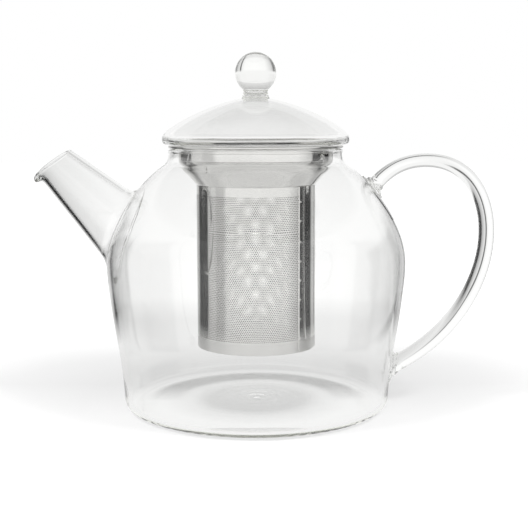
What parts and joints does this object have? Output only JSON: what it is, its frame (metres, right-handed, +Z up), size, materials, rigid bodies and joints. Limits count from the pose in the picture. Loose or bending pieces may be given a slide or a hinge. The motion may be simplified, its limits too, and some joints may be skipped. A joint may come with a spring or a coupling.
{
  "type": "teapot",
  "caption": "Blown glass teapot with a straight spout and a loop handle, a perforated steel infuser hung in its neck, and a domed glass lid with a ball knob.",
  "frame": {"origin": "centre of the flat base, on the vessel's axis, at the surface that the teapot stands on", "axes": "+Z up along the vessel's axis, -X towards the spout, +X towards the handle"},
  "size_m": [0.2319, 0.15, 0.1778],
  "materials": {
    "clear_glass": "clear fire-polished borosilicate glass with slight waviness",
    "polished_steel": "bright satin stainless steel, deep drawn",
    "perforated_steel": "stainless sheet with fine round perforations"
  },
  "bodies": {
    "pot": {"glass_vessel": "clear_glass", "spout": "clear_glass", "handle": "clear_glass"},
    "infuser": {"infuser_collar": "polished_steel", "infuser_tube": "perforated_steel", "infuser_base": "perforated_steel"},
    "lid": {"lid_dome": "clear_glass", "lid_knob": "clear_glass"}
  },
  "joints": [
    {"name": "infuser_lift", "type": "slide", "parent": "pot", "child": "infuser", "axis": [0, 0, 1], "range_m": [0, 0.12]},
    {"name": "lid_lift", "type": "slide", "parent": "infuser", "child": "lid", "axis": [0, 0, 1], "range_m": [0, 0.04]}
  ]
}
